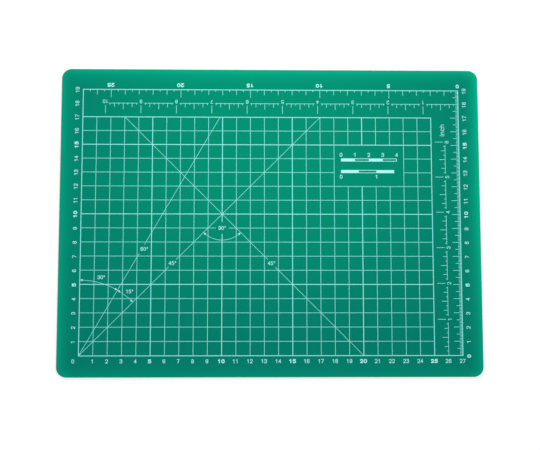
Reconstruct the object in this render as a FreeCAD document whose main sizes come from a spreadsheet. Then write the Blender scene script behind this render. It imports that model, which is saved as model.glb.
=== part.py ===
"""Self-healing cutting mat: five bonded plies with a printed measuring grid on the upper face.

The origin is the middle of the underside, X runs along the long side, Y along the short side and Z up.
All lengths are millimetres. The print is a thin film of ink on the upper face, so every printed line, tick
and number is a solid as thick as that film. Printed places are counted from the lower left corner of the
border frame, in cells of the grid.
"""

import FreeCAD, Part

import functools
import math
import os

import Sketcher
from FreeCAD import Placement, Rotation, Vector

# Driving dimensions
SIZES = {
    "mat_length": 300,
    "mat_width": 220,
    "corner_radius": 7,
    "top_ply": 0.8,
    "upper_core": 0.4,
    "middle_core": 0.6,
    "lower_core": 0.4,
    "bottom_ply": 0.8,
    "rim_round": 0.5,
    "ink_film": 0.04,
    "margin": 15,
    "print_shift": 0.5,
    "grid_pitch": 10,
    "inch_pitch": 25.4,
    "frame_line": 0.5,
    "bold_line": 0.5,
    "thin_line": 0.3,
    "angle_line": 0.26,
    "tick_line": 0.3,
    "millimetre_tick": 1.9,
    "half_centimetre_tick": 3.9,
    "centimetre_tick": 5.9,
    "top_short_tick": 1.5,
    "top_middle_tick": 3.7,
    "top_long_tick": 5.7,
    "eighth_inch_tick": 1.2,
    "quarter_inch_tick": 2.8,
    "half_inch_tick": 4.3,
    "inch_tick": 7.3,
    "inch_tick_gap": 1.5,
    "inch_line_gap": 2.35,
    "number_height": 2.8,
    "number_stroke": 0.39,
    "bold_stroke": 0.67,
    "bottom_number_offset": 3.8,
    "bottom_number_lead": 0.3,
    "corner_number_offset": 3.8,
    "left_number_offset": 4.1,
    "right_number_offset": 4.3,
    "side_number_drop": 0.4,
    "top_number_offset": 3.3,
    "top_number_lead": 0.3,
    "inch_number_height": 2.7,
    "inch_number_stroke": 0.36,
    "inch_number_offset": 1.25,
    "unit_height": 3.3,
    "unit_lead": 8.6,
    "unit_offset": 2,
    "label_height": 2.6,
    "label_stroke": 0.36,
    "label_gap": 7.5,
    "label_window_length": 9.3,
    "label_window_width": 8.7,
    "corner_arc_radius": 53,
    "cross_arc_radius": 18.6,
    "arrow_length": 2,
    "arrow_width": 1.6,
    "key_bar": 2.2,
    "key_line": 0.4,
    "key_spread": 4.2,
    "key_number_offset": 3.7,
    "overrun": 1,
}

# Counts
RULER_CELLS = 2
BOLD_EVERY = 5
MILLIMETRES = 10
PANEL_COLUMNS = 5
PANEL_ROWS = 3
PANEL_INSET = 2
KEY_CELLS = 4
KEY_INSET = PANEL_INSET + (PANEL_COLUMNS + KEY_CELLS) / 2
KEY_DROP = PANEL_INSET + PANEL_ROWS / 2
CROSS_CELL = 10

# A row of cells that just fits isn't lost to rounding.
FIT_SHARE = 0.001

# Values worked out from the driving dimensions: the print's height, the frame's sides and the counts that fit
LAYOUT = {
    "core_height": "=sizes.bottom_ply + sizes.lower_core + sizes.middle_core + sizes.upper_core",
    "face_height": "=core_height + sizes.top_ply",
    "columns": f"=floor((sizes.mat_length - 2 * sizes.margin) / sizes.grid_pitch + {FIT_SHARE})",
    "rows": f"=floor((sizes.mat_width - 2 * sizes.margin) / sizes.grid_pitch + {FIT_SHARE})",
    "left": "=sizes.margin + sizes.print_shift - sizes.mat_length / 2",
    "low": "=sizes.margin - sizes.mat_width / 2",
    "right": "=left + columns * sizes.grid_pitch",
    "high": "=low + rows * sizes.grid_pitch",
    "grid_columns": f"=columns - {RULER_CELLS}",
    "grid_rows": f"=rows - {RULER_CELLS}",
    "top_inches": f"=floor((right - left) / sizes.inch_pitch + {FIT_SHARE})",
    "right_inches": f"=floor((high - low) / sizes.inch_pitch + {FIT_SHARE}) - 1",
    "key_half_inches": f"=floor(2 * {KEY_CELLS} * sizes.grid_pitch / sizes.inch_pitch + {FIT_SHARE})",
    "key_left": f"=left + (grid_columns - {KEY_INSET}) * sizes.grid_pitch",
    "key_middle": f"=low + (grid_rows - {KEY_DROP}) * sizes.grid_pitch",
}

# Angle lines: name, foot in cells along the bottom, direction in degrees, row of the cell with the label
ANGLE_LINES = (
    ("rising_line", 0, 45, 6),
    ("falling_line", 2 * CROSS_CELL, 135, 6),
    ("steep_line", 0, 60, 7),
)

# Arcs between angle lines: centre in cells both ways, radius, first and last direction in degrees
ARCS = (
    (CROSS_CELL, "cross_arc_radius", 225, 315),
    (0, "corner_arc_radius", 60, 90),
    (0, "corner_arc_radius", 45, 60),
)

# Places of the labels, as shares of the grid's pitch
CELL_MIDDLE_SHARE = 0.5
CROSS_LABEL_SHARES = (10, 9)
CORNER_LABEL_SHARES = {"30°": (1.5, 5.5), "15°": (3.5, 4.5)}

# The rim's rounding stays inside its ply.
RIM_LIMIT_SHARE = 0.9

# Lettering: a sign's width and the gap after it as shares of its height, and a narrow sign's step as a share
# of the full step
SIGN_WIDTH_SHARE = 0.66
BOLD_WIDTH_SHARE = 0.82
SIGN_GAP_SHARE = 0.13
NARROW_STEP_SHARES = {"I": 0.5, "°": 0.7}

# Strokes of each sign, as shares of the sign's width and height. A stroke of two points is straight, and the
# corners of a longer one are rounded as far as its runs allow.
SIX_SHARES = (
    ((0.95, 0.8), (0.95, 1), (0, 1), (0, 0.29)),
    ((0.5, 0), (0, 0), (0, 0.58), (0.5, 0.58)),
    ((0.5, 0), (1, 0), (1, 0.58), (0.5, 0.58)),
)
SIGN_SHARES = {
    "0": (((0, 0.5), (0, 1), (1, 1), (1, 0.5)), ((0, 0.5), (0, 0), (1, 0), (1, 0.5))),
    "1": (((0.6, 0), (0.6, 1)), ((0.6, 1), (0.15, 0.78))),
    "2": (((0, 0.75), (0, 1), (1, 1), (1, 0.55), (0, 0)), ((0, 0), (1, 0))),
    "3": (
        ((0, 0.78), (0, 1), (1, 1), (1, 0.52), (0.4, 0.52)),
        ((0.4, 0.52), (1, 0.52), (1, 0), (0, 0), (0, 0.22)),
    ),
    "4": (((0.74, 0), (0.74, 1)), ((0.74, 1), (0, 0.28)), ((0, 0.28), (1, 0.28))),
    "5": (
        ((0.94, 1), (0.12, 1)),
        ((0.12, 1), (0.04, 0.52)),
        ((0.04, 0.52), (0.04, 0.63), (1, 0.63), (1, 0), (0, 0), (0, 0.12)),
    ),
    "6": SIX_SHARES,
    "7": (((0, 1), (1, 1)), ((1, 1), (0.3, 0))),
    "8": (
        ((0.5, 0), (0, 0), (0, 0.53), (0.5, 0.53)),
        ((0.5, 0), (1, 0), (1, 0.53), (0.5, 0.53)),
        ((0.5, 1), (0.05, 1), (0.05, 0.53), (0.5, 0.53)),
        ((0.5, 1), (0.95, 1), (0.95, 0.53), (0.5, 0.53)),
    ),
    "9": tuple(tuple((1 - across, 1 - up) for across, up in stroke) for stroke in SIX_SHARES),
    "°": (
        ((0.3, 0.68), (0.08, 0.68), (0.08, 1), (0.3, 1)),
        ((0.3, 0.68), (0.52, 0.68), (0.52, 1), (0.3, 1)),
    ),
    "I": (((0.1, 0), (0.1, 1)),),
    "n": (((0, 0), (0, 0.7)), ((0, 0.4), (0, 0.7), (0.9, 0.7), (0.9, 0))),
    "c": (((0.9, 0.55), (0.9, 0.7), (0, 0.7), (0, 0), (0.9, 0), (0.9, 0.15)),),
    "h": (((0, 0), (0, 1)), ((0, 0.4), (0, 0.7), (0.9, 0.7), (0.9, 0))),
}

# Weights of the numbers round the frame: the stroke and the width's share
WEIGHTS = {"plain": ("number_stroke", SIGN_WIDTH_SHARE), "bold": ("bold_stroke", BOLD_WIDTH_SHARE)}

UP = Vector(0, 0, 1)
TOLERANCE = 1e-6

doc = FreeCAD.newDocument("cutting_mat")


def fill_sheet(name, rows):
    """A spreadsheet with one named value in each row."""
    sheet = doc.addObject("Spreadsheet::Sheet", name)
    for row, (alias, value) in enumerate(rows.items(), 1):
        sheet.set(f"A{row}", alias)
        sheet.set(f"B{row}", str(value))
        sheet.setAlias(f"B{row}", alias)
    doc.recompute()
    return sheet


sizes = fill_sheet("sizes", SIZES)
layout = fill_sheet("layout", LAYOUT)


def read(name):
    """A named value from whichever sheet holds it."""
    return (sizes if name in SIZES else layout).get(name)


def origin_part(body, role):
    """A plane or an axis of the body's own origin."""
    return next(part for part in body.Origin.OriginFeatures if part.Role == role)


# Plies


def outline_sketch(body):
    """The mat's outline before its corners are rounded, centred on the origin."""
    sketch = body.newObject("Sketcher::SketchObject", body.Name + "_outline")
    sketch.AttachmentSupport = [(origin_part(body, "XY_Plane"), "")]
    sketch.MapMode = "FlatFace"
    signs = ((-1, -1), (1, -1), (1, 1), (-1, 1))
    corners = [Vector(x * read("mat_length") / 2, y * read("mat_width") / 2, 0) for x, y in signs]
    for side, corner in enumerate(corners):
        sketch.addGeometry(Part.LineSegment(corner, corners[(side + 1) % len(corners)]))
    for side in range(len(corners)):
        sketch.addConstraint(Sketcher.Constraint("Coincident", side, 2, (side + 1) % len(corners), 1))
        sketch.addConstraint(Sketcher.Constraint("Vertical" if side % 2 else "Horizontal", side))
    sketch.addConstraint(Sketcher.Constraint("Symmetric", 0, 1, 2, 1, -1, 1))
    for kind, side, size in (("DistanceX", 0, "mat_length"), ("DistanceY", 1, "mat_width")):
        place = sketch.addConstraint(Sketcher.Constraint(kind, side, 1, side, 2, read(size)))
        sketch.renameConstraint(place, size)
        sketch.setExpression("Constraints." + size, "sizes." + size)
    return sketch


def round_edges(body, base, name, radius, chosen):
    """A fillet on those edges of the base that pass a test."""
    doc.recompute()
    fillet = body.newObject("PartDesign::Fillet", f"{body.Name}_{name}")
    fillet.Base = (base, [f"Edge{place}" for place, edge in enumerate(base.Shape.Edges, 1) if chosen(edge)])
    fillet.setExpression("Radius", radius)
    return fillet


def ply(label, thickness, below, rim_face=None):
    """One layer on the layers below it, with the rim of its upper or lower face rounded if one is named."""
    body = doc.addObject("PartDesign::Body", label)
    pad = body.newObject("PartDesign::Pad", label + "_pad")
    pad.Profile = outline_sketch(body)
    pad.setExpression("Length", "sizes." + thickness)

    def upright(edge):
        return edge.BoundBox.ZLength > TOLERANCE

    def on_rim(edge):
        level = read(thickness) if rim_face == "upper" else 0
        return not upright(edge) and abs(edge.BoundBox.ZMax - level) < TOLERANCE

    sheet = round_edges(body, pad, "corners", "sizes.corner_radius", upright)
    if rim_face:
        limit = f"{RIM_LIMIT_SHARE} * sizes.{thickness}"
        round_edges(body, sheet, "rim", f"min(sizes.rim_round; {limit})", on_rim)
    body.setExpression("Placement.Base.z", below)
    return body


def plies():
    """The five bonded layers, from the underside up."""
    return [
        ply("bottom_ply", "bottom_ply", "0", "lower"),
        ply("lower_core_ply", "lower_core", "sizes.bottom_ply"),
        ply("middle_core_ply", "middle_core", "sizes.bottom_ply + sizes.lower_core"),
        ply("upper_core_ply", "upper_core", "layout.core_height - sizes.upper_core"),
        ply("top_cutting_ply", "top_ply", "layout.core_height", "upper"),
    ]


# Straight print


def on_face(x, y, turn=0):
    """The place of a printed piece on the upper face, as an expression."""
    return f"placement(vector({x}; {y}; layout.face_height); rotationz({turn}))"


def ink_box(name, place, length, width):
    """One straight bar of ink."""
    box = doc.addObject("Part::Box", name)
    box.setExpression("Length", length)
    box.setExpression("Width", width)
    box.setExpression("Height", "sizes.ink_film")
    box.setExpression("Placement", place)
    return box


def combine(kind, name, base, tool):
    """A cut or a common of two pieces."""
    result = doc.addObject(kind, name)
    result.Base = base
    result.Tool = tool
    return result


def print_body(label, x, y, turn):
    """A body for a straight scale, with X along the scale and Y into the mat."""
    body = doc.addObject("PartDesign::Body", label)
    body.AllowCompound = True
    body.setExpression("Placement", on_face(x, y, turn))
    return body


def bar_row(body, name, x, y, length, width, step="0", count="1"):
    """A row of equal bars along the body's X."""
    bar = body.newObject("PartDesign::AdditiveBox", f"{body.Name}_{name}")
    bar.setExpression("Length", length)
    bar.setExpression("Width", width)
    bar.setExpression("Height", "sizes.ink_film")
    bar.setExpression("Placement.Base.x", x)
    bar.setExpression("Placement.Base.y", y)
    row = body.newObject("PartDesign::LinearPattern", f"{body.Name}_{name}_row")
    row.Originals = [bar]
    row.Direction = (origin_part(body, "X_Axis"), [""])
    row.setExpression("Length", f"({count} - 1) * ({step})")
    row.setExpression("Occurrences", count)
    body.Tip = row


def tick_row(body, name, first, step, count, start, reach):
    """A row of ticks along the body's X, each from one distance off the scale's line to another."""
    x = f"{first} - sizes.tick_line / 2"
    bar_row(body, name, x, start, "sizes.tick_line", f"{reach} - {start}", step, count)


def border_frame():
    """The line round the print: a box of ink less the clear space inside it."""
    boxes = []
    for name, side in (("frame_outside", 1), ("frame_inside", -1)):
        grow = f"{side} * sizes.frame_line"
        place = on_face(f"layout.left - {grow} / 2", f"layout.low - {grow} / 2")
        length = f"layout.right - layout.left + {grow}"
        width = f"layout.high - layout.low + {grow}"
        boxes.append(ink_box(name, place, length, width))
    return combine("Part::Cut", "border_frame", *boxes)


def top_centimetre_ticks():
    """Half centimetres, centimetres and every fifth one, down from the top, counted from the right."""
    body = print_body("top_centimetre_ticks", "layout.right", "layout.high", 180)
    cell = "sizes.grid_pitch"
    start = "sizes.frame_line / 2"
    tick_row(body, "half", f"{cell} / 2", cell, "layout.columns", start, "sizes.top_short_tick")
    tick_row(body, "whole", cell, cell, "layout.columns - 1", start, "sizes.top_middle_tick")
    fives = f"floor((layout.columns - 1) / {BOLD_EVERY})"
    step = f"{BOLD_EVERY} * {cell}"
    tick_row(body, "five", step, step, fives, "sizes.top_middle_tick", "sizes.top_long_tick")
    return body


def right_millimetre_ticks():
    """Millimetres, longer at each half and whole centimetre, in from the right, counted from the foot."""
    body = print_body("right_millimetre_ticks", "layout.right", "layout.low", 90)
    for name, ticks, start, reach in (
        ("millimetre", MILLIMETRES, "sizes.frame_line / 2", "sizes.millimetre_tick"),
        ("half", 2, "sizes.millimetre_tick", "sizes.half_centimetre_tick"),
        ("whole", 1, "sizes.half_centimetre_tick", "sizes.centimetre_tick"),
    ):
        step = f"sizes.grid_pitch / {ticks}"
        tick_row(body, name, step, step, f"{ticks} * layout.rows - 1", start, reach)
    return body


def inch_scale(label, x, y, turn, inches, begin):
    """An inch scale: a line that breaks at each number, with ticks at halves, quarters and eighths.

    The line begins clear of the print that it meets near its zero.
    """
    body = print_body(label, x, y, turn)
    inch = "sizes.inch_pitch"
    half_line = "sizes.tick_line / 2"
    gap = "sizes.inch_line_gap"
    bar_row(body, "first_line", begin, f"-{half_line}", f"{inch} - {gap} - {begin}", "sizes.tick_line")
    bar_row(body, "line", f"{inch} + {gap}", f"-{half_line}", f"{inch} - 2 * {gap}", "sizes.tick_line", inch,
            f"{inches} - 1")
    for name, parts in (("half", 1), ("quarter", 2), ("eighth", 4)):
        first = f"{inch} / {2 * parts}"
        count = f"{parts} * {inches}"
        tick_row(body, name, first, f"{inch} / {parts}", count, half_line, f"sizes.{name}_inch_tick")
    tick_row(body, "whole", inch, inch, inches, "sizes.inch_tick_gap", "sizes.inch_tick")
    return body


def scale_key():
    """Two bar keys in the panel, in centimetres and in half inches, of filled and open blocks by turns."""
    body = print_body("scale_key_bars", "layout.key_left", "layout.key_middle", 0)
    for name, side, cell, cells in (
        ("centimetre", 1, "sizes.grid_pitch", str(KEY_CELLS)),
        ("inch", -1, "sizes.inch_pitch / 2", "layout.key_half_inches"),
    ):
        foot = f"{side} * sizes.key_spread - sizes.key_bar / 2"
        pair = f"2 * {cell}"
        bar_row(body, name + "_filled", "0", foot, cell, "sizes.key_bar", pair, f"ceil({cells} / 2)")
        for edge, rise in (("low", "0"), ("high", "sizes.key_bar - sizes.key_line")):
            bar_row(body, f"{name}_{edge}", cell, f"{foot} + {rise}", cell, "sizes.key_line", pair,
                    f"floor({cells} / 2)")
        end = f"{cells} * {cell} - sizes.key_line"
        bar_row(body, name + "_end", end, foot, "sizes.key_line", "sizes.key_bar")
    return body


# Grid and angle lines


def frame_corner():
    """The place of print that is measured from the frame's lower left corner."""
    return Placement(Vector(read("left"), read("low"), read("face_height")), Rotation())


def grid_lines(count):
    """Both edges of each grid line, by its number from the frame. Every fifth line and the last are bold."""
    edges = {}
    for index in range(1, count + 1):
        bold = index % BOLD_EVERY == 0 or index == count
        half = read("bold_line" if bold else "thin_line") / 2
        middle = index * read("grid_pitch")
        edges[index] = (middle - half, middle + half)
    return edges


def flat_wire(points):
    """A closed wire through points of the print's plane."""
    return Part.makePolygon([Vector(x, y, 0) for x, y in (*points, points[0])])


def cell_hole(left, low, right, high):
    """The clear space of a cell, traced clockwise as a hole is."""
    return flat_wire(((left, low), (left, high), (right, high), (right, low)))


def label_hole(across, up):
    """Four cells joined round the label at their corner, with a stub of each line that stops short of it."""
    column, row = CROSS_LABEL_SHARES
    left, right = across[column - 1][1], across[column + 1][0]
    low, high = up[row - 1][1], up[row + 1][0]
    line_left, line_right = across[column]
    line_low, line_high = up[row]
    half_length = read("label_window_length") / 2
    half_width = read("label_window_width") / 2
    stub_left = column * read("grid_pitch") - half_length
    stub_right = column * read("grid_pitch") + half_length
    stub_low = row * read("grid_pitch") - half_width
    stub_high = row * read("grid_pitch") + half_width
    return flat_wire((
        (left, low), (left, line_low), (stub_left, line_low), (stub_left, line_high), (left, line_high),
        (left, high), (line_left, high), (line_left, stub_high), (line_right, stub_high), (line_right, high),
        (right, high), (right, line_high), (stub_right, line_high), (stub_right, line_low), (right, line_low),
        (right, low), (line_right, low), (line_right, stub_low), (line_left, stub_low), (line_left, low),
    ))


def band_outline(across, rows, left, low):
    """The outer edge of a band of the grid: straight at its top and right, toothed at its left and foot."""
    first_column = across[1][0]
    first_row = rows[0][0]
    points = []
    for place in range(len(rows) - 1, -1, -1):
        row_low, row_high = rows[place]
        points += [(left, row_high), (left, row_low)]
        if place:
            points += [(first_column, row_low), (first_column, rows[place - 1][1])]
    points.append((first_column, first_row))
    for column, (column_left, column_right) in across.items():
        points += [(column_left, low), (column_right, low)]
        if column < len(across):
            points += [(column_right, first_row), (across[column + 1][0], first_row)]
    points.append((across[len(across)][1], rows[-1][1]))
    return flat_wire(points)


def band_tops(rows, spans):
    """The level lines that end a band: every fifth that crosses no span of rows, and the last."""
    fives = range(BOLD_EVERY, rows, BOLD_EVERY)
    return [row for row in fives if not any(low <= row < high for low, high in spans)] + [rows]


def centimetre_grid(across, up):
    """The grid as bands of ink from one bold level line to another, with a hole in each cell.

    The panel and the label that stands on a grid line each have a larger hole.
    """
    panel_right = len(across) - PANEL_INSET
    panel_left = panel_right - PANEL_COLUMNS
    panel_high = len(up) - PANEL_INSET
    panel_low = panel_high - PANEL_ROWS
    label_column, label_row = CROSS_LABEL_SHARES
    panel = cell_hole(across[panel_left][1], up[panel_low][1], across[panel_right][0], up[panel_high][0])
    label = label_hole(across, up)
    frame_edge = read("frame_line") / 2
    bands = []
    below = 0
    for top in band_tops(len(up), ((panel_low, panel_high), (label_row - 1, label_row + 1))):
        foot = up[below][1] if below else frame_edge
        holes = []
        for row in range(below + 1, top):
            for column in range(1, len(across)):
                in_panel = panel_left <= column < panel_right and panel_low <= row < panel_high
                at_label = column in (label_column - 1, label_column) and row in (label_row - 1, label_row)
                if not in_panel and not at_label:
                    sides = (across[column][1], up[row][1], across[column + 1][0], up[row + 1][0])
                    holes.append(cell_hole(*sides))
        holes += [panel] if below < panel_low < top else []
        holes += [label] if below < label_row < top else []
        rows = [up[row] for row in range(below + 1, top + 1)]
        outline = band_outline(across, rows, frame_edge, foot)
        bands.append(Part.Face([outline] + holes).extrude(UP * read("ink_film")))
        below = top
    grid = doc.addObject("Part::Feature", "centimetre_grid")
    grid.Shape = Part.makeCompound(bands)
    grid.Placement = frame_corner()
    return grid


def grid_bars(across, up):
    """The upright and the level grid lines as plain bars, which other print gives way to."""
    width = read("grid_pitch") * len(across)
    height = read("grid_pitch") * len(up)
    film = read("ink_film")
    uprights = []
    for start, end in across.values():
        uprights.append(Part.makeBox(end - start, height, film, Vector(start, 0, 0)))
    levels = []
    for start, end in up.values():
        levels.append(Part.makeBox(width, end - start, film, Vector(0, start, 0)))
    families = []
    for name, bars in (("upright_bars", uprights), ("level_bars", levels)):
        family = doc.addObject("Part::Feature", name)
        family.Shape = Part.makeCompound(bars)
        family.Placement = frame_corner()
        families.append(family)
    return families


def grid_reach():
    """The space that the grid's lines cover, inside the border frame."""
    edge = "sizes.frame_line / 2"
    return ink_box(
        "grid_reach",
        on_face(f"layout.left + {edge}", f"layout.low + {edge}"),
        f"layout.grid_columns * sizes.grid_pitch - {edge}",
        f"layout.grid_rows * sizes.grid_pitch - {edge}",
    )


def angle_lines(reach, uprights, levels):
    """The angle lines, broken at their labels and at each line of the grid."""
    pieces = []
    top = "layout.grid_rows * sizes.grid_pitch"
    for name, foot, angle, row in ANGLE_LINES:
        rise = math.sin(math.radians(angle))
        label = f"{(row + CELL_MIDDLE_SHARE) / rise} * sizes.grid_pitch"
        upper_start = f"{label} + sizes.label_gap / 2"
        for part, start, length in (
            ("lower", "0", f"{label} - sizes.label_gap / 2"),
            ("upper", upper_start, f"{top} / {rise} + sizes.overrun - ({upper_start})"),
        ):
            place = on_face(f"layout.left + {foot} * sizes.grid_pitch", "layout.low", angle)
            shift = f"placement(vector({start}; -sizes.angle_line / 2; 0); rotationz(0))"
            pieces.append(ink_box(f"{name}_{part}", f"{place} * {shift}", length, "sizes.angle_line"))
    bars = doc.addObject("Part::MultiFuse", "angle_bars")
    bars.Shapes = pieces
    bars = combine("Part::Common", "angle_bars_in_grid", bars, reach)
    bars = combine("Part::Cut", "angle_bars_between_uprights", bars, uprights)
    return combine("Part::Cut", "angle_lines", bars, levels)


def arc_mark(cell, radius, first, last):
    """A thin arc between two directions, with an arrowhead at each end."""
    offset = cell * read("grid_pitch")
    centre = Vector(read("left") + offset, read("low") + offset, read("face_height"))
    film = read("ink_film")
    half = read("angle_line") / 2
    ring = Part.makeCylinder(radius + half, film, centre, UP, last - first)
    ring = ring.cut(Part.makeCylinder(radius - half, film, centre, UP, last - first))
    ring.rotate(centre, UP, first)
    heads = []
    for angle, way in ((first, -1), (last, 1)):
        outwards = Rotation(UP, angle).multVec(Vector(1, 0, 0))
        tip = centre + outwards * radius
        back = tip - UP.cross(outwards) * (way * read("arrow_length"))
        side = outwards * (read("arrow_width") / 2)
        heads.append(Part.Face(Part.makePolygon([tip, back + side, back - side, tip])).extrude(UP * film))
    return ring.fuse(heads)


def angle_arcs(reach, uprights, levels, lines):
    """The arcs with their arrowheads, between the grid's lines and the angle lines."""
    doc.recompute()
    marks = Part.makeCompound([arc_mark(cell, read(size), first, last) for cell, size, first, last in ARCS])
    marks = marks.common(reach.Shape)
    for other in (uprights, levels, lines):
        marks = marks.cut(other.Shape)
    arcs = doc.addObject("Part::Feature", "angle_arcs")
    arcs.Shape = marks
    return arcs


# Lettering


def rounded_run(points):
    """Edges along the points, with each inner corner rounded as far as its shorter run allows."""
    edges = []
    last = points[0]
    for place in range(1, len(points) - 1):
        corner = points[place]
        back = points[place - 1] - corner
        ahead = points[place + 1] - corner
        back_room = back.Length / (1 if place == 1 else 2)
        ahead_room = ahead.Length / (1 if place == len(points) - 2 else 2)
        room = min(back_room, ahead_room)
        half_angle = back.getAngle(ahead) / 2
        back.normalize()
        ahead.normalize()
        inwards = back + ahead
        inwards.normalize()
        depth = room / math.cos(half_angle) - room * math.tan(half_angle)
        start = corner + back * room
        end = corner + ahead * room
        if (start - last).Length > TOLERANCE:
            edges.append(Part.LineSegment(last, start).toShape())
        edges.append(Part.Arc(start, corner + inwards * depth, end).toShape())
        last = end
    if (points[-1] - last).Length > TOLERANCE:
        edges.append(Part.LineSegment(last, points[-1]).toShape())
    return Part.Wire(edges)


def straight_stroke(start, end, width):
    """The face of a straight stroke with round ends."""
    ahead = (end - start).normalize() * (width / 2)
    side = UP.cross(ahead)
    edges = (
        Part.LineSegment(start - side, end - side),
        Part.Arc(end - side, end + ahead, end + side),
        Part.LineSegment(end + side, start + side),
        Part.Arc(start + side, start - ahead, start - side),
    )
    return Part.Face(Part.Wire([edge.toShape() for edge in edges]))


@functools.cache
def sign_solids(sign, height, stroke, width_share):
    """The solids of one sign, with its lower left corner at the origin. Each kind is made once."""
    wide = width_share * height - stroke
    high = height - stroke
    faces = []
    for shares in SIGN_SHARES[sign]:
        points = [Vector(stroke / 2 + x * wide, stroke / 2 + y * high, 0) for x, y in shares]
        if len(points) == 2:
            faces.append(straight_stroke(*points, stroke))
        else:
            faces.append(rounded_run(points).makeOffset2D(stroke / 2, 0, True, False))
    first, *others = [face.extrude(UP * read("ink_film")) for face in faces]
    return (first.multiFuse(others).removeSplitter() if others else first).Solids


def lettering(text, height, stroke, x, y, width_share=SIGN_WIDTH_SHARE):
    """The solids of a word or number, centred on a point."""
    gap = SIGN_GAP_SHARE * height
    step = width_share * height + gap
    steps = [step * NARROW_STEP_SHARES.get(sign, 1) for sign in text]
    along = x - (sum(steps) - gap) / 2
    solids = []
    for sign, advance in zip(text, steps):
        for solid in sign_solids(sign, height, stroke, width_share):
            copy = solid.copy()
            copy.translate(Vector(along, y - height / 2, 0))
            solids.append(copy)
        along += advance
    return solids


def printed_signs(label, solids, x="left", y="low", turn=0, inset=0):
    """A node of lettering, made on a scale with X along it, and set on the face at the scale's zero."""
    node = doc.addObject("Part::Feature", label)
    node.Shape = Part.makeCompound(solids)
    rotation = Rotation(UP, turn)
    zero = Vector(read(x), read(y), read("face_height")) + rotation.multVec(Vector(0, inset, 0))
    node.Placement = Placement(zero, rotation)
    return node


def edge_numbers(label, x, y, turn, marks, across):
    """Numbers along one edge of the frame: each mark is a number, its place along the edge and its weight."""
    height = read("number_height")
    solids = []
    for number, along, weight in marks:
        stroke, width_share = WEIGHTS[weight]
        solids += lettering(str(number), height, read(stroke), along, across, width_share)
    return printed_signs(label, solids, x, y, turn)


def number_weight(number):
    """Every fifth number is bold."""
    return "bold" if number % BOLD_EVERY == 0 else "plain"


def frame_numbers():
    """The centimetre numbers round the frame."""
    pitch = read("grid_pitch")
    columns = int(read("columns"))
    rows = int(read("rows"))
    drop = read("side_number_drop")
    bottom_lead = read("bottom_number_lead")
    top_lead = read("top_number_lead")
    bottom = [(0, -read("corner_number_offset"), "plain")]
    for number in range(1, columns + 1):
        bottom.append((number, number * pitch - bottom_lead, number_weight(number)))
    side = [(number, number * pitch - drop, number_weight(number)) for number in range(rows + 1)]
    top = [(number, number * pitch + top_lead, "bold") for number in range(0, columns + 1, BOLD_EVERY)]
    return [
        edge_numbers("bottom_numbers", "left", "low", 0, bottom, -read("bottom_number_offset")),
        edge_numbers("left_numbers", "left", "low", 90, side[1:], read("left_number_offset")),
        edge_numbers("right_numbers", "right", "low", 90, side, -read("right_number_offset")),
        edge_numbers("top_numbers", "right", "high", 180, top, -read("top_number_offset")),
    ]


def inch_numbers(label, x, y, turn, inches):
    """The numbers of an inch scale, which stand in the breaks of its line one cell in from the frame."""
    solids = []
    for number in range(1, int(inches) + 1):
        solids += lettering(
            str(number), read("inch_number_height"), read("inch_number_stroke"),
            number * read("inch_pitch"), -read("inch_number_offset"),
        )
    return printed_signs(label, solids, x, y, turn, read("grid_pitch"))


def unit_label():
    """The unit's word, after the last number of the right inch scale."""
    along = read("right_inches") * read("inch_pitch") + read("unit_lead")
    word = lettering("Inch", read("unit_height"), read("inch_number_stroke"), along, read("unit_offset"))
    return printed_signs("inch_label", word, "right", "low", 90, read("grid_pitch"))


def angle_labels():
    """The angle of each line, in the cell where the line breaks, and the angles beside the arcs."""
    places = [("90°", *CROSS_LABEL_SHARES)]
    places += [(text, *shares) for text, shares in CORNER_LABEL_SHARES.items()]
    for name, foot, angle, row in ANGLE_LINES:
        column = math.floor(foot + (row + CELL_MIDDLE_SHARE) / math.tan(math.radians(angle)))
        text = f"{min(angle, 180 - angle)}°"
        places.append((text, column + CELL_MIDDLE_SHARE, row + CELL_MIDDLE_SHARE))
    pitch = read("grid_pitch")
    solids = []
    for text, column, row in places:
        solids += lettering(text, read("label_height"), read("label_stroke"), column * pitch, row * pitch)
    return printed_signs("angle_labels", solids)


def scale_key_numbers():
    """The numbers above the centimetre key and below the inch key."""
    across = read("key_spread") + read("key_number_offset")
    whole_inches = int(read("key_half_inches")) // 2
    marks = [(number, number * read("grid_pitch"), across) for number in range(KEY_CELLS + 1)]
    marks += [(number, number * read("inch_pitch"), -across) for number in range(whole_inches + 1)]
    solids = []
    for number, along, up in marks:
        solids += lettering(str(number), read("number_height"), read("number_stroke"), along, up)
    return printed_signs("scale_key_numbers", solids, "key_left", "key_middle")


def printed_marks():
    """Every group of printed marks on the upper face."""
    across = grid_lines(int(read("grid_columns")))
    up = grid_lines(int(read("grid_rows")))
    uprights, levels = grid_bars(across, up)
    reach = grid_reach()
    lines = angle_lines(reach, uprights, levels)
    top_line = "layout.high - sizes.grid_pitch"
    right_line = "layout.right - sizes.grid_pitch"
    tick_end = "sizes.centimetre_tick"
    frame_edge = "sizes.frame_line / 2"
    return [
        border_frame(),
        centimetre_grid(across, up),
        lines,
        angle_arcs(reach, uprights, levels, lines),
        angle_labels(),
        *frame_numbers(),
        top_centimetre_ticks(),
        right_millimetre_ticks(),
        inch_scale("top_inch_scale", "layout.right", top_line, 180, "layout.top_inches", tick_end),
        inch_numbers("top_inch_numbers", "right", "high", 180, read("top_inches")),
        inch_scale("right_inch_scale", right_line, "layout.low", 90, "layout.right_inches", frame_edge),
        inch_numbers("right_inch_numbers", "right", "low", 90, read("right_inches")),
        unit_label(),
        scale_key(),
        scale_key_numbers(),
    ]


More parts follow.
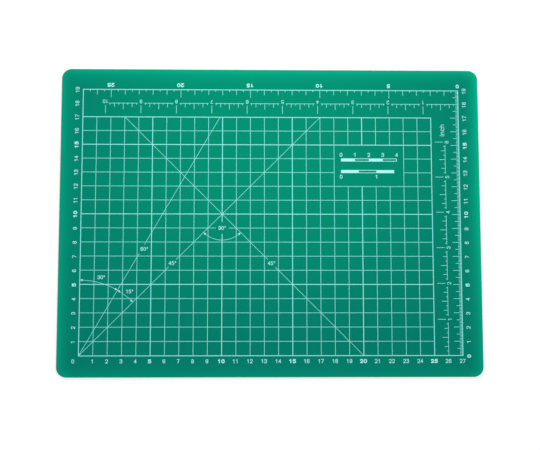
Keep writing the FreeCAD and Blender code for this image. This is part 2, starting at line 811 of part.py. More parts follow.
def write_nodes(nodes):
    """Check every object and shape, then write each node to its own file."""
    doc.recompute()
    failed = [item.Name for item in doc.Objects if {"Invalid", "Error"} & set(item.State)]
    failed += [node.Label for node in nodes if node.Shape.isNull() or not node.Shape.isValid()]
    if failed:
        raise RuntimeError("failed: " + ", ".join(failed))
    os.makedirs("parts", exist_ok=True)
    for node in nodes:
        node.Shape.exportStep(f"parts/{node.Label}.step")
        print(f"{node.Label}: {len(node.Shape.Solids)} solids, {node.Shape.Volume:.3f} mm3")


write_nodes(plies() + printed_marks())
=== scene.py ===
"""Self-healing cutting mat on a white table, seen from almost straight above.

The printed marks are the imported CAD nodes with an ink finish. The five bonded plies are modelled here with
the soft rolled rims, the set-back core edges and the surface grain that a pressed and die-cut sheet has.
"""

import logging
import math
from dataclasses import dataclass
from enum import Enum

import bmesh
import bpy
from mathutils import Color, Matrix, Vector


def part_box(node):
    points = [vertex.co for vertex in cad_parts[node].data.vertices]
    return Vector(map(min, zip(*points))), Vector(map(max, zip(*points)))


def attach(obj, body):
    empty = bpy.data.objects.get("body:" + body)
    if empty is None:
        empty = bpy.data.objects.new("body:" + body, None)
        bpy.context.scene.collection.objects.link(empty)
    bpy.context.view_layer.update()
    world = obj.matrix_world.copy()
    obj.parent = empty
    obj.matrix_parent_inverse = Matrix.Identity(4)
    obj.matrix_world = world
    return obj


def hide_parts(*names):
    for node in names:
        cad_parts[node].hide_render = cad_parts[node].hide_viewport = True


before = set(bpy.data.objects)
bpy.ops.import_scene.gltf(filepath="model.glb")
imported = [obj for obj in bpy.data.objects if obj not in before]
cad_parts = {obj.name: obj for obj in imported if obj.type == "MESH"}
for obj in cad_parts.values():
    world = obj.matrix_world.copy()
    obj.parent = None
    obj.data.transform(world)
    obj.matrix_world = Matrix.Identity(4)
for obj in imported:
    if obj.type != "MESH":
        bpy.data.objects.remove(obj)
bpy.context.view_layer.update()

Socket = bpy.types.NodeSocket
Sockets = bpy.types.bpy_prop_collection
Colour = tuple[float, float, float, float]
Point = tuple[float, float, float]
Value = Socket | float | Colour | Point

LOG = logging.getLogger("cutting_mat")
BODY = "root"
MM = 0.001
SCREEN_WHITE = 255
WHITE: Colour = (1.0, 1.0, 1.0, 1.0)


class Slot(Enum):
    """Names of material slots, which each ply is listed with; nothing here reads them."""

    GREEN_FACE = "green_face"
    CORE_SHEET = "core_sheet"


class Rim(Enum):
    """The face of a ply whose rim is rolled."""

    UPPER = 1
    LOWER = -1
    NONE = 0


# Shader building


class ShaderTree:
    """A node tree that is filled with nodes and links."""

    def __init__(self, tree: bpy.types.NodeTree) -> None:
        """Keeps the tree that the nodes go into."""
        self.tree = tree

    def node(self, kind: str, **settings: object) -> bpy.types.Node:
        """Adds a node.

        Args:
            kind: the node's type name, without its common first word.
            settings: properties of the node.

        Returns:
            The new node.
        """
        made = self.tree.nodes.new("ShaderNode" + kind)
        for name, value in settings.items():
            setattr(made, name, value)
        return made

    def feed(self, target: Socket, value: Value) -> None:
        """Links a socket to the target, or sets the target's own value.

        Args:
            target: the socket that is fed.
            value: a socket, a number or a list of numbers.
        """
        if isinstance(value, Socket):
            self.tree.links.new(value, target)
        else:
            target.default_value = value

    def math(self, operation: str, *values: Value, clamp: bool = False) -> Socket:
        """Adds a math node.

        Args:
            operation: the node's operation.
            values: sockets or numbers, in the node's order.
            clamp: whether the result is kept between 0 and 1.

        Returns:
            The node's result.
        """
        made = self.node("Math", operation=operation, use_clamp=clamp)
        for target, value in zip(made.inputs, values):
            self.feed(target, value)
        return made.outputs[0]

    def noise(self, position: Socket, scale: Value, detail: float, roughness: float = 0.5) -> Socket:
        """Adds a noise texture.

        Args:
            position: where the noise is read.
            scale: features per metre.
            detail: octaves.
            roughness: how much the finer octaves count.

        Returns:
            The noise's value, about 0.5 on average.
        """
        made = self.node("TexNoise")
        self.feed(made.inputs["Vector"], position)
        self.feed(made.inputs["Scale"], scale)
        self.feed(made.inputs["Detail"], detail)
        self.feed(made.inputs["Roughness"], roughness)
        return made.outputs["Fac"]

    def split(self, vector: Socket) -> Sockets:
        """Adds a node that splits a vector.

        Args:
            vector: the vector.

        Returns:
            Its parts, by the names X, Y and Z.
        """
        made = self.node("SeparateXYZ")
        self.feed(made.inputs[0], vector)
        return made.outputs

    def ramp(
        self, value: Socket, low: Value, high: Value, to_low: Value = 0.0, to_high: Value = 1.0
    ) -> Socket:
        """Adds a smooth step.

        Args:
            value: the value that is mapped.
            low: where the step starts.
            high: where the step ends.
            to_low: the result before the start.
            to_high: the result after the end.

        Returns:
            The mapped value.
        """
        made = self.node("MapRange", interpolation_type="SMOOTHSTEP")
        for target, given in zip(made.inputs, (value, low, high, to_low, to_high)):
            self.feed(target, given)
        return made.outputs[0]

    def mix(self, kind: str, amount: Socket, first: Value, second: Value) -> Socket:
        """Adds a mix of two values of one kind.

        Args:
            kind: the node's data type.
            amount: the share of the second value.
            first: a value or a socket.
            second: a value or a socket.

        Returns:
            The mixed value.
        """
        made = self.node("Mix", data_type=kind)
        self.feed(made.inputs["Factor"], amount)
        self.feed(made.inputs["A"], first)
        self.feed(made.inputs["B"], second)
        return made.outputs["Result"]

    def tint(self, amount: Socket, first: Value, second: Value) -> Socket:
        """Adds a mix of two colours, with the share of the second one."""
        return self.mix("RGBA", amount, first, second)

    def emboss(self, height: Socket, strength: float) -> Socket:
        """Adds a bump node.

        Args:
            height: the surface's height in metres.
            strength: how much of the bump shows.

        Returns:
            The bumped normal.
        """
        made = self.node("Bump")
        self.feed(made.inputs["Height"], height)
        self.feed(made.inputs["Strength"], strength)
        self.feed(made.inputs["Distance"], 1.0)
        return made.outputs["Normal"]

    def place(self, group: bpy.types.NodeTree, **values: Value) -> Sockets:
        """Places a shared group.

        Args:
            group: the group's tree.
            values: values or sockets by input name, with underscores for spaces.

        Returns:
            The outputs of the group's node.
        """
        made = self.node("Group", node_tree=group)
        for name, value in values.items():
            self.feed(made.inputs[name.replace("_", " ")], value)
        return made.outputs


class SharedGroup:
    """A shader node group with named inputs and outputs, built once."""

    def __init__(self, name: str, inputs: dict[str, str], outputs: tuple[str, ...]) -> None:
        """Makes the group's sockets.

        Args:
            name: the group's name.
            inputs: socket kinds by name.
            outputs: names of the values that it puts out.
        """
        self.tree = bpy.data.node_groups.new(name, "ShaderNodeTree")
        for title, kind in inputs.items():
            self.tree.interface.new_socket(title, in_out="INPUT", socket_type="NodeSocket" + kind)
        for title in outputs:
            self.tree.interface.new_socket(title, in_out="OUTPUT", socket_type="NodeSocketFloat")
        self.shader = ShaderTree(self.tree)
        self.given = self.tree.nodes.new("NodeGroupInput").outputs
        self.result = self.tree.nodes.new("NodeGroupOutput").inputs


@dataclass(frozen=True)
class PressedGrain:
    """A fine pebble with dust on it and shallow pits in it, and soft clouds.

    Scales are features per metre, and shares are heights in proportion to the pebble's.
    """

    pebble_smoothness: float = 0.6
    dust_scale: float = 5200.0
    dust_detail: float = 2.0
    dust_share: float = 0.45
    pit_scale: float = 1500.0
    pit_detail: float = 1.0
    pit_start: float = 0.62
    pit_end: float = 0.74
    pit_share: float = 0.3
    cloud_detail: float = 3.0

    def group(self) -> bpy.types.NodeTree:
        """Builds the grain's height, and the masks of its clouds and pits.

        Returns:
            The group's tree.
        """
        inputs = {"Position": "Vector", "Pebble Scale": "Float", "Cloud Scale": "Float"}
        group = SharedGroup("pressed_grain", inputs, ("Height", "Clouds", "Pits"))
        shader = group.shader
        position = group.given["Position"]
        pebble = shader.node("TexVoronoi", feature="SMOOTH_F1")
        shader.feed(pebble.inputs["Vector"], position)
        shader.feed(pebble.inputs["Scale"], group.given["Pebble Scale"])
        shader.feed(pebble.inputs["Smoothness"], self.pebble_smoothness)
        dust = shader.noise(position, self.dust_scale, self.dust_detail)
        hollows = shader.noise(position, self.pit_scale, self.pit_detail)
        pits = shader.ramp(hollows, self.pit_start, self.pit_end)
        rise = shader.math("MULTIPLY_ADD", dust, self.dust_share, pebble.outputs["Distance"])
        drop = shader.math("MULTIPLY", pits, self.pit_share)
        shader.feed(group.result["Height"], shader.math("SUBTRACT", rise, drop))
        clouds = shader.noise(position, group.given["Cloud Scale"], self.cloud_detail)
        shader.feed(group.result["Clouds"], clouds)
        shader.feed(group.result["Pits"], pits)
        return group.tree


@dataclass(frozen=True)
class SheetField:
    """Where a point lies on a sheet with rounded corners.

    The side mask comes in between two insets from the short sides. The painted light grows from the near side
    to just past the middle, and falls off towards the short sides.
    """

    side_start: float = 14 * MM
    side_end: float = 4 * MM
    painted_light_start: float = -1.0
    painted_light_end: float = 0.3
    side_fall: float = 0.7

    def group(self) -> bpy.types.NodeTree:
        """Builds the inset from the outline, the side mask, both places from -1 to 1, and the painted light.

        Returns:
            The group's tree.
        """
        sizes = ("Half Length", "Half Width", "Corner Radius")
        inputs = {"Position": "Vector"} | {name: "Float" for name in sizes}
        group = SharedGroup("rim_distance", inputs, ("Inset", "Side", "Lean", "Rise", "Painted Light"))
        shader = group.shader
        half_length, half_width, radius = (group.given[name] for name in sizes)
        parts = shader.split(group.given["Position"])
        past = []
        for place, half in ((parts["X"], half_length), (parts["Y"], half_width)):
            straight = shader.math("SUBTRACT", half, radius)
            past.append(shader.math("SUBTRACT", shader.math("ABSOLUTE", place), straight))
        beyond = [shader.math("POWER", shader.math("MAXIMUM", value, 0.0), 2.0) for value in past]
        outside = shader.math("SQRT", shader.math("ADD", *beyond))
        inside = shader.math("MINIMUM", shader.math("MAXIMUM", *past), 0.0)
        reach = shader.math("ADD", outside, inside)
        shader.feed(group.result["Inset"], shader.math("SUBTRACT", radius, reach))
        starts = shader.math("SUBTRACT", half_length, self.side_start)
        ends = shader.math("SUBTRACT", half_length, self.side_end)
        shader.feed(group.result["Side"], shader.ramp(shader.math("ABSOLUTE", parts["X"]), starts, ends))
        lean = shader.math("DIVIDE", parts["X"], half_length)
        rise = shader.math("DIVIDE", parts["Y"], half_width)
        shader.feed(group.result["Lean"], lean)
        shader.feed(group.result["Rise"], rise)
        # Painted light: the sheet is painted lighter towards the far side and darker towards the near side
        # and the short sides
        aside = shader.math("POWER", shader.math("ABSOLUTE", lean), 2.0)
        middle = shader.math("MULTIPLY_ADD", aside, -self.side_fall, 1.0)
        grown = shader.ramp(rise, self.painted_light_start, self.painted_light_end)
        shader.feed(group.result["Painted Light"], shader.math("MULTIPLY", grown, middle))
        return group.tree


@dataclass(frozen=True)
class DieCut:
    """The fine upright drag lines that a die leaves on a cut edge, and which faces are such edges."""

    upright_squeeze: float = 0.06
    line_scale: float = 4200.0
    line_detail: float = 3.0
    line_roughness: float = 0.6
    edge_end: float = 0.25
    face_start: float = 0.6

    def group(self) -> bpy.types.NodeTree:
        """Builds the lines' height and the mask of the cut edge.

        Returns:
            The group's tree.
        """
        group = SharedGroup("die_cut_edge", {"Position": "Vector", "Normal": "Vector"}, ("Lines", "Edge"))
        shader = group.shader
        stretch = shader.node("Mapping")
        shader.feed(stretch.inputs["Vector"], group.given["Position"])
        shader.feed(stretch.inputs["Scale"], (1.0, 1.0, self.upright_squeeze))
        lines = shader.noise(stretch.outputs[0], self.line_scale, self.line_detail, self.line_roughness)
        shader.feed(group.result["Lines"], lines)
        level = shader.math("ABSOLUTE", shader.split(group.given["Normal"])["Z"])
        shader.feed(group.result["Edge"], shader.ramp(level, self.edge_end, self.face_start, 1.0, 0.0))
        return group.tree


class SharedEffects:
    """The groups that several finishes use."""

    def __init__(self) -> None:
        """Builds each group once."""
        self.grain = PressedGrain().group()
        self.field = SheetField().group()
        self.cut = DieCut().group()


# Finishes


def linear(red: int, green: int, blue: int) -> Colour:
    """Turns a colour as seen on a screen into the linear values that a shader takes.

    Args:
        red: from 0 to 255.
        green: from 0 to 255.
        blue: from 0 to 255.

    Returns:
        The linear colour, opaque.
    """
    seen = Color([level / SCREEN_WHITE for level in (red, green, blue)])
    return (*seen.from_srgb_to_scene_linear(), 1.0)


def new_material(name: str) -> tuple[bpy.types.Material, ShaderTree, Sockets]:
    """Adds a material with its usual surface shader.

    Args:
        name: the material's name.

    Returns:
        The material, its node tree and the inputs of its surface shader.
    """
    made = bpy.data.materials.new(name)
    made.use_nodes = True
    return made, ShaderTree(made.node_tree), made.node_tree.nodes["Principled BSDF"].inputs


@dataclass(frozen=True)
class SheetOutline:
    """The outline that the tint of a sheet follows."""

    half_length: float
    half_width: float
    corner_radius: float


@dataclass(frozen=True)
class PaintedRimLight:
    """A painted light along the rim: how it fades inwards, and its shares of the rim's colour along the
    sides.

    It is even over a flat band and fades within a reach. The right side has one share at its near end, and
    another from a turn near its middle on.
    """

    reach: float
    flat: float
    left: float
    right_near: float
    right_far: float
    near: float
    far: float
    right_turn: float = 0.2

    @classmethod
    def even(cls, reach: float, share: float) -> "PaintedRimLight":
        """A painted rim light with one share all round, which fades from the very edge."""
        return cls(reach, 0.0, share, share, share, share, share)

    def mask(self, shader: ShaderTree, place: Sockets) -> Socket:
        """Adds the mask of the painted rim light.

        Args:
            shader: the material's node tree.
            place: where the point lies on the sheet.

        Returns:
            The share of the rim's colour.
        """
        inwards = shader.math("MAXIMUM", place["Inset"], self.flat)
        faded = shader.math("EXPONENT", shader.math("MULTIPLY", inwards, -1 / self.reach))
        right = shader.ramp(place["Rise"], -1.0, self.right_turn, self.right_near, self.right_far)
        across = shader.ramp(place["Lean"], -1.0, 1.0, self.left, right)
        along = shader.ramp(place["Rise"], -1.0, 1.0, self.near, self.far)
        return shader.math("MULTIPLY", faded, shader.ramp(place["Side"], 0.0, 1.0, along, across))


@dataclass(frozen=True)
class PvcFinish:
    """Matte PVC: a pressed grain, a colour painted from a shaded tone to a lit tone, and a painted light
    along the rim.
    """

    name: str
    shaded_tone: Colour
    lit_tone: Colour
    rim: Colour
    edge: Colour
    glow: PaintedRimLight
    pebble_scale: float
    grain_depth: float
    roughness: float
    cloud_scale: float = 26.0
    cloud_tint: float = 0.16
    edge_share: float = 0.85
    cloud_roughness: float = 0.12
    pit_roughness: float = 0.08
    specular: float = 0.03
    cut_depth: float = 0.02 * MM
    bump_strength: float = 0.8

    def material(self, effects: SharedEffects, outline: SheetOutline) -> bpy.types.Material:
        """Builds the finish.

        Args:
            effects: the shared groups.
            outline: the outline of the sheet that wears it.

        Returns:
            The material.
        """
        made, shader, skin = new_material(self.name)
        position = shader.node("TexCoord").outputs["Object"]
        normal = shader.node("NewGeometry").outputs["Normal"]
        grain = shader.place(
            effects.grain, Position=position, Pebble_Scale=self.pebble_scale, Cloud_Scale=self.cloud_scale
        )
        place = shader.place(
            effects.field,
            Position=position,
            Half_Length=outline.half_length,
            Half_Width=outline.half_width,
            Corner_Radius=outline.corner_radius,
        )
        cut = shader.place(effects.cut, Position=position, Normal=normal)
        # Painted light: the colour goes from the shaded tone to the lit tone as the painted light grows, with
        # random clouds of tone added
        clouds = shader.math("MULTIPLY_ADD", grain["Clouds"], self.cloud_tint, -self.cloud_tint / 2)
        painted_light_and_clouds = shader.math("ADD", place["Painted Light"], clouds, clamp=True)
        colour = shader.tint(painted_light_and_clouds, self.shaded_tone, self.lit_tone)
        # Painted light: a paler band along the rim, with more of it on the right and far sides
        colour = shader.tint(self.glow.mask(shader, place), colour, self.rim)
        colour = shader.tint(shader.math("MULTIPLY", cut["Edge"], self.edge_share), colour, self.edge)
        shader.feed(skin["Base Color"], colour)
        smoothest = self.roughness - self.cloud_roughness / 2
        rough = shader.math("MULTIPLY_ADD", grain["Clouds"], self.cloud_roughness, smoothest)
        rough = shader.math("MULTIPLY_ADD", grain["Pits"], self.pit_roughness, rough)
        shader.feed(skin["Roughness"], rough)
        shader.feed(skin["Specular IOR Level"], self.specular)
        face_height = shader.math("MULTIPLY", grain["Height"], self.grain_depth)
        line_height = shader.math("MULTIPLY", cut["Lines"], self.cut_depth)
        height = shader.mix("FLOAT", cut["Edge"], face_height, line_height)
        shader.feed(skin["Normal"], shader.emboss(height, self.bump_strength))
        return made


@dataclass(frozen=True)
class InkFinish:
    """Screen-printed ink: a mint white over the sheet's grain, whose film thins in spots and patches."""

    name: str
    full: Colour
    thin: Colour
    roughness: float = 0.6
    pebble_scale: float = 2400.0
    cloud_scale: float = 60.0
    spot_scale: float = 2600.0
    spot_detail: float = 2.0
    spot_start: float = 0.52
    spot_end: float = 0.72
    spot_loss: float = 0.55
    patch_start: float = 0.45
    patch_end: float = 0.8
    patch_loss: float = 0.35
    loss_roughness: float = 0.15
    specular: float = 0.08
    grain_depth: float = 0.012 * MM
    bump_strength: float = 0.6

    def material(self, effects: SharedEffects) -> bpy.types.Material:
        """Builds the finish.

        Args:
            effects: the shared groups.

        Returns:
            The material.
        """
        made, shader, skin = new_material(self.name)
        position = shader.node("TexCoord").outputs["Object"]
        grain = shader.place(
            effects.grain, Position=position, Pebble_Scale=self.pebble_scale, Cloud_Scale=self.cloud_scale
        )
        speckle = shader.noise(position, self.spot_scale, self.spot_detail)
        spots = shader.ramp(speckle, self.spot_start, self.spot_end, 0.0, self.spot_loss)
        patches = shader.ramp(grain["Clouds"], self.patch_start, self.patch_end, 0.0, self.patch_loss)
        loss = shader.math("MAXIMUM", spots, patches)
        shader.feed(skin["Base Color"], shader.tint(loss, self.full, self.thin))
        shader.feed(skin["Roughness"], shader.math("MULTIPLY_ADD", loss, self.loss_roughness, self.roughness))
        shader.feed(skin["Specular IOR Level"], self.specular)
        height = shader.math("MULTIPLY", grain["Height"], self.grain_depth)
        shader.feed(skin["Normal"], shader.emboss(height, self.bump_strength))
        return made


# Each finish's shaded and lit tones paint a gradient of light on the sheet, and its rim colour paints light
# along the rim
GREEN_FACE = PvcFinish(
    name="green_face",
    shaded_tone=linear(1, 129, 111),
    lit_tone=linear(1, 145, 115),
    rim=linear(1, 204, 156),
    edge=linear(3, 140, 112),
    glow=PaintedRimLight(
        reach=4.0 * MM, flat=1.6 * MM, left=0.5, right_near=0.54, right_far=0.92, near=0.25, far=0.64
    ),
    pebble_scale=2600.0,
    grain_depth=0.018 * MM,
    roughness=0.78,
)
GREEN_UNDERSIDE = PvcFinish(
    name="green_underside",
    shaded_tone=linear(4, 134, 110),
    lit_tone=linear(4, 142, 114),
    rim=linear(4, 148, 118),
    edge=linear(3, 122, 98),
    glow=PaintedRimLight.even(reach=2.5 * MM, share=0.8),
    pebble_scale=1100.0,
    grain_depth=0.05 * MM,
    roughness=0.66,
)
CORE_EDGE = PvcFinish(
    name="core_edge",
    shaded_tone=linear(8, 108, 90),
    lit_tone=linear(10, 116, 96),
    rim=linear(10, 112, 92),
    edge=linear(8, 100, 84),
    glow=PaintedRimLight.even(reach=1.0 * MM, share=1.0),
    pebble_scale=3000.0,
    grain_depth=0.01 * MM,
    roughness=0.7,
)
LINE_INK = InkFinish(name="line_ink", full=linear(157, 254, 252), thin=linear(135, 248, 246))
SIGN_INK = InkFinish(name="sign_ink", full=linear(182, 254, 255), thin=linear(158, 249, 249))


# Modelling by hand

# How near two places count as one, in metres, and how level a face counts as flat
TOLERANCE = 1e-6
FLATNESS = 0.99

# The profile of a bevel that is an arc, and the sharpest angle that is shaded smooth
ROUND_PROFILE = 0.5
SMOOTH_ANGLE = math.radians(35)


def select_none() -> None:
    """Leaves edit mode if it is on, and deselects every object."""
    if bpy.context.object and bpy.context.object.mode != "OBJECT":
        bpy.ops.object.mode_set(mode="OBJECT")
    bpy.ops.object.select_all(action="DESELECT")


def pick_edges(piece: bpy.types.Object, upright: bool, level: float = 0.0) -> None:
    """Selects edges of the piece in edit mode.

    Args:
        piece: the piece in edit mode.
        upright: whether to take the upright edges, or those that lie at a level.
        level: the height of the edges that lie.
    """
    bpy.ops.mesh.select_mode(type="EDGE")
    bpy.ops.mesh.select_all(action="DESELECT")
    shape = bmesh.from_edit_mesh(piece.data)
    for edge in shape.edges:
        first, second = (corner.co for corner in edge.verts)
        stands = (first - second).to_2d().length < TOLERANCE
        lies = max(abs(first.z - level), abs(second.z - level)) < TOLERANCE
        edge.select_set(stands if upright else lies)
    bmesh.update_edit_mesh(piece.data)


def pick_cap(piece: bpy.types.Object, rim: Rim) -> None:
    """Selects the large flat face on one side of the piece in edit mode.

    Args:
        piece: the piece in edit mode.
        rim: the side of the face.
    """
    bpy.ops.mesh.select_mode(type="FACE")
    bpy.ops.mesh.select_all(action="DESELECT")
    shape = bmesh.from_edit_mesh(piece.data)
    shape.normal_update()
    caps = [face for face in shape.faces if face.normal.z * rim.value > FLATNESS]
    max(caps, key=lambda face: face.calc_area()).select_set(True)
    bmesh.update_edit_mesh(piece.data)


def round_picked(radius: float, steps: int) -> None:
    """Rounds the selected edges of the piece in edit mode, by a radius in a number of steps."""
    bpy.ops.mesh.bevel(offset=radius, segments=steps, profile=ROUND_PROFILE, affect="EDGES")


# The mat


@dataclass(frozen=True)
class Roll:
    """A rim that curves down to the wall as a quarter of an ellipse."""

    reach: float
    depth: float
    steps: int

    def runs(self) -> list[tuple[float, float]]:
        """Divides the curve into runs.

        Returns:
            How far in and how far up each run goes, from the wall to the face.
        """
        turns = [step * math.pi / 2 / self.steps for step in range(self.steps + 1)]
        points = [(self.reach * (1 - math.cos(turn)), self.depth * math.sin(turn)) for turn in turns]
        return [(ahead[0] - back[0], ahead[1] - back[1]) for back, ahead in zip(points, points[1:])]


@dataclass
class Ply:
    """One bonded layer of the mat, in place of the CAD node that it stands for."""

    name: str
    node: str
    slot: Slot
    finish: PvcFinish
    rim: Rim
    roll: Roll
    set_back: float
    corner_radius: float
    corner_steps: int = 20

    def build(self) -> bpy.types.Object:
        """Models the layer in the box of its CAD node.

        Returns:
            The layer's object.
        """
        low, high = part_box(self.node)
        size = high - low - Vector((2 * self.set_back, 2 * self.set_back, 0))
        middle = (low + high) / 2
        # The block leaves out the height that a rolled rim adds to it
        if self.rim is not Rim.NONE:
            size.z -= self.roll.depth
            middle.z -= self.rim.value * self.roll.depth / 2
        select_none()
        bpy.ops.mesh.primitive_cube_add(size=1, location=middle)
        piece = bpy.context.object
        piece.name = self.name
        piece.data.name = self.name
        piece.scale = size
        bpy.ops.object.transform_apply(location=True, rotation=True, scale=True)
        bpy.ops.object.mode_set(mode="EDIT")
        pick_edges(piece, upright=True)
        round_picked(self.corner_radius - self.set_back, self.corner_steps)
        if self.rim is Rim.NONE:
            self.ease_edges(piece, low.z, high.z)
        else:
            self.roll_rim(piece)
        bpy.ops.mesh.select_all(action="SELECT")
        bpy.ops.mesh.normals_make_consistent(inside=False)
        bpy.ops.object.mode_set(mode="OBJECT")
        bpy.ops.object.shade_smooth_by_angle(angle=SMOOTH_ANGLE)
        return piece

    def roll_rim(self, piece: bpy.types.Object) -> None:
        """Raises the face in rings, so that its rim curves down to the wall.

        Args:
            piece: the layer in edit mode.
        """
        pick_cap(piece, self.rim)
        for inwards, upwards in self.roll.runs():
            bpy.ops.mesh.inset(thickness=inwards, depth=upwards, use_even_offset=True)

    def ease_edges(self, piece: bpy.types.Object, low: float, high: float) -> None:
        """Takes the sharpness off both rims of a core layer.

        Args:
            piece: the layer in edit mode.
            low: the height of the lower rim.
            high: the height of the upper rim.
        """
        for level in (low, high):
            pick_edges(piece, upright=False, level=level)
            round_picked(self.roll.depth, self.roll.steps)

    def dress(self, piece: bpy.types.Object, material: bpy.types.Material) -> None:
        """Gives the layer its finish and its place in the frame.

        Args:
            piece: the layer.
            material: its finish.
        """
        piece.data.materials.append(material)
        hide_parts(self.node)
        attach(piece, BODY)


@dataclass
class Laminate:
    """The five bonded plies."""

    corner_radius: float = 7 * MM
    face_roll: Roll = Roll(reach=4.2 * MM, depth=0.5 * MM, steps=12)
    under_roll: Roll = Roll(reach=1.6 * MM, depth=0.4 * MM, steps=8)
    core_ease: Roll = Roll(reach=0.05 * MM, depth=0.05 * MM, steps=2)
    outer_core_set_back: float = 0.06 * MM
    middle_core_set_back: float = 0.1 * MM

    def green_ply(self, name: str, node: str, finish: PvcFinish, rim: Rim, roll: Roll) -> Ply:
        """Describes an outer layer.

        Args:
            name: the layer's name.
            node: the CAD node that it stands for.
            finish: its finish.
            rim: the face whose rim is rolled.
            roll: how that rim is rolled.

        Returns:
            The layer.
        """
        return Ply(name, node, Slot.GREEN_FACE, finish, rim, roll, 0.0, self.corner_radius)

    def core_ply(self, name: str, node: str, set_back: float) -> Ply:
        """Describes a core layer.

        Args:
            name: the layer's name.
            node: the CAD node that it stands for.
            set_back: how far its edge lies in from the outer layers' edges.

        Returns:
            The layer.
        """
        return Ply(
            name, node, Slot.CORE_SHEET, CORE_EDGE, Rim.NONE, self.core_ease, set_back, self.corner_radius
        )

    def plies(self) -> list[Ply]:
        """Lists the layers.

        Returns:
            The layers, from the underside up.
        """
        return [
            self.green_ply("underside_sheet", "bottom_ply", GREEN_UNDERSIDE, Rim.LOWER, self.under_roll),
            self.core_ply("lower_core_sheet", "lower_core_ply", self.outer_core_set_back),
            self.core_ply("middle_core_sheet", "middle_core_ply", self.middle_core_set_back),
            self.core_ply("upper_core_sheet", "upper_core_ply", self.outer_core_set_back),
            self.green_ply("cutting_face_sheet", "top_cutting_ply", GREEN_FACE, Rim.UPPER, self.face_roll),
        ]

    def build(self, effects: SharedEffects) -> None:
        """Models and dresses every layer.

        Args:
            effects: the shared groups.
        """
        low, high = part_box("top_cutting_ply")
        outline = SheetOutline((high.x - low.x) / 2, (high.y - low.y) / 2, self.corner_radius)
        materials: dict[str, bpy.types.Material] = {}
        for ply in self.plies():
            if ply.finish.name not in materials:
                materials[ply.finish.name] = ply.finish.material(effects, outline)
            piece = ply.build()
            ply.dress(piece, materials[ply.finish.name])
            LOG.info("%s: %d faces", piece.name, len(piece.data.polygons))


@dataclass
class PrintedScales:
    """The printed marks, which are CAD nodes: a thin ink for lines and a fuller one for signs."""

    nodes: tuple[str, ...]
    sign_nodes: tuple[str, ...] = (
        "angle_labels",
        "bottom_numbers",
        "left_numbers",
        "right_numbers",
        "top_numbers",
        "inch_label",
        "scale_key_bars",
        "scale_key_numbers",
    )

    def dress(self, effects: SharedEffects) -> None:
        """Gives every printed node its ink.

        Args:
            effects: the shared groups.
        """
        line_ink, sign_ink = LINE_INK.material(effects), SIGN_INK.material(effects)
        for name in self.nodes:
            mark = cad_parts[name]
            mark.data.materials.clear()
            mark.data.materials.append(sign_ink if name in self.sign_nodes else line_ink)
            LOG.info("%s: %d faces", name, len(mark.data.polygons))


# The studio


@dataclass
class SoftBox:
    """A rectangular lamp with its face turned to a point."""

    name: str
    place: Point
    target: Point
    size: tuple[float, float]
    power: float

    def build(self) -> None:
        """Hangs the lamp, out of the camera's sight."""
        lamp = bpy.data.lights.new(self.name, "AREA")
        lamp.shape = "RECTANGLE"
        lamp.size, lamp.size_y = self.size
        lamp.energy = self.power
        hung = bpy.data.objects.new(self.name, lamp)
        bpy.context.scene.collection.objects.link(hung)
        hung.location = self.place
        hung.visible_camera = False
        hung.rotation_euler = (Vector(self.target) - Vector(self.place)).to_track_quat("-Z", "Y").to_euler()


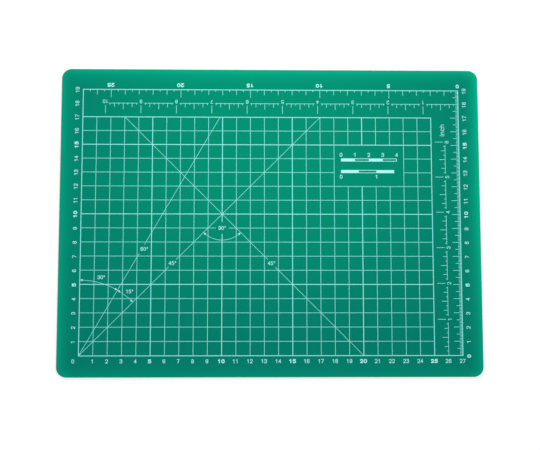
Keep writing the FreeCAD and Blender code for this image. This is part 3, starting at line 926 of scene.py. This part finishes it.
@dataclass
class Studio:
    """The white table, the lamps and the camera. The table's own glow grows from near the mat outwards."""

    floor_reach: float = 12.0
    floor_cells: int = 8
    floor_colour: Colour = (0.5, 0.5, 0.5, 1.0)
    floor_roughness: float = 0.9
    glow_start: float = 0.1
    glow_end: float = 1.0
    near_glow: float = 0.63
    far_glow: float = 0.84
    world_level: float = 0.6
    backdrop_level: float = 1.0
    overhead_place: Point = (-0.008, 0.122, 0.32)
    overhead_target: Point = (0.0, -0.03, 0.0)
    overhead_size: tuple[float, float] = (0.15, 0.12)
    overhead_power: float = 0.42
    strip_reach: float = 0.7
    strip_height: float = 0.1
    strip_target: Point = (0.0, 0.0, 0.0)
    strip_size: tuple[float, float] = (0.5, 0.12)
    left_power: float = 0.5
    right_power: float = 0.62
    front_power: float = 0.4
    back_power: float = 0.5
    camera_place: Point = (-0.0154, -0.0733, 0.6960)
    camera_look: Point = (0.0214, 0.1012, -0.9947)
    camera_up: Point = (-0.0016, 0.9949, 0.1007)
    lens: float = 65.31
    sensor: float = 36.0

    def build(self) -> None:
        """Sets up the table, the light and the camera."""
        bpy.context.scene.view_settings.view_transform = "Standard"
        self.lay_floor()
        self.light_world()
        for lamp in self.lamps():
            lamp.build()
        self.aim_camera()

    def strip(self, name: str, across: int, along: int, power: float) -> SoftBox:
        """Describes a low lamp on one side of the mat.

        Args:
            name: the lamp's name.
            across: its side along X: -1, 0 or 1.
            along: its side along Y: -1, 0 or 1.
            power: its power in watts.

        Returns:
            The lamp.
        """
        place = (across * self.strip_reach, along * self.strip_reach, self.strip_height)
        return SoftBox(name, place, self.strip_target, self.strip_size, power)

    def lamps(self) -> list[SoftBox]:
        """Lists the lamps.

        Returns:
            The lamp above the mat, and the low ones round it.
        """
        return [
            SoftBox(
                name="overhead_softbox",
                place=self.overhead_place,
                target=self.overhead_target,
                size=self.overhead_size,
                power=self.overhead_power,
            ),
            self.strip("left_strip", -1, 0, self.left_power),
            self.strip("right_strip", 1, 0, self.right_power),
            self.strip("front_strip", 0, -1, self.front_power),
            self.strip("back_strip", 0, 1, self.back_power),
        ]

    @staticmethod
    def seen_directly(shader: ShaderTree) -> Socket:
        """Adds the mask of rays that show the background as it is: to the camera, by gloss and through glass.

        Args:
            shader: the tree of the floor or the world.

        Returns:
            The mask.
        """
        path = shader.node("LightPath").outputs
        glossy = shader.math("MAXIMUM", path["Is Camera Ray"], path["Is Glossy Ray"])
        return shader.math("MAXIMUM", glossy, path["Is Transmission Ray"])

    def lay_floor(self) -> None:
        """Lays the white table, which shows near white to the camera and still takes the mat's shadow."""
        select_none()
        cells = self.floor_cells
        bpy.ops.mesh.primitive_grid_add(x_subdivisions=cells, y_subdivisions=cells, size=self.floor_reach)
        floor = bpy.context.object
        floor.name = "table"
        made, shader, skin = new_material("white_table")
        shader.feed(skin["Base Color"], self.floor_colour)
        shader.feed(skin["Roughness"], self.floor_roughness)
        shader.feed(skin["Specular IOR Level"], 0.0)
        shader.feed(skin["Emission Color"], WHITE)
        distance = shader.node("VectorMath", operation="LENGTH")
        shader.feed(distance.inputs[0], shader.node("TexCoord").outputs["Object"])
        glow = shader.ramp(
            distance.outputs["Value"], self.glow_start, self.glow_end, self.near_glow, self.far_glow
        )
        shader.feed(skin["Emission Strength"], shader.math("MULTIPLY", self.seen_directly(shader), glow))
        floor.data.materials.append(made)

    def light_world(self) -> None:
        """Fills the room with even light, and shows it white to the camera."""
        world = bpy.data.worlds.new("white_room")
        bpy.context.scene.world = world
        world.use_nodes = True
        shader = ShaderTree(world.node_tree)
        glow = world.node_tree.nodes["Background"].inputs
        shader.feed(glow["Color"], WHITE)
        level = shader.ramp(self.seen_directly(shader), 0.0, 1.0, self.world_level, self.backdrop_level)
        shader.feed(glow["Strength"], level)

    def aim_camera(self) -> None:
        """Puts the camera where the photograph was taken from."""
        lens = bpy.data.cameras.new("camera")
        lens.sensor_width = self.sensor
        lens.sensor_fit = "HORIZONTAL"
        lens.lens = self.lens
        camera = bpy.data.objects.new("camera", lens)
        bpy.context.scene.collection.objects.link(camera)
        back = -Vector(self.camera_look).normalized()
        right = Vector(self.camera_up).cross(back).normalized()
        turn = Matrix((right, back.cross(right), back)).transposed()
        camera.matrix_world = Matrix.Translation(self.camera_place) @ turn.to_4x4()
        bpy.context.scene.camera = camera


def main() -> None:
    """Builds the mat and the studio."""
    logging.basicConfig(level=logging.INFO, format="%(name)s: %(message)s")
    effects = SharedEffects()
    laminate = Laminate()
    laminate.build(effects)
    plies = {ply.node for ply in laminate.plies()}
    PrintedScales(tuple(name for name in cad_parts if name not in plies)).dress(effects)
    Studio().build()


if __name__ == "__main__":
    main()
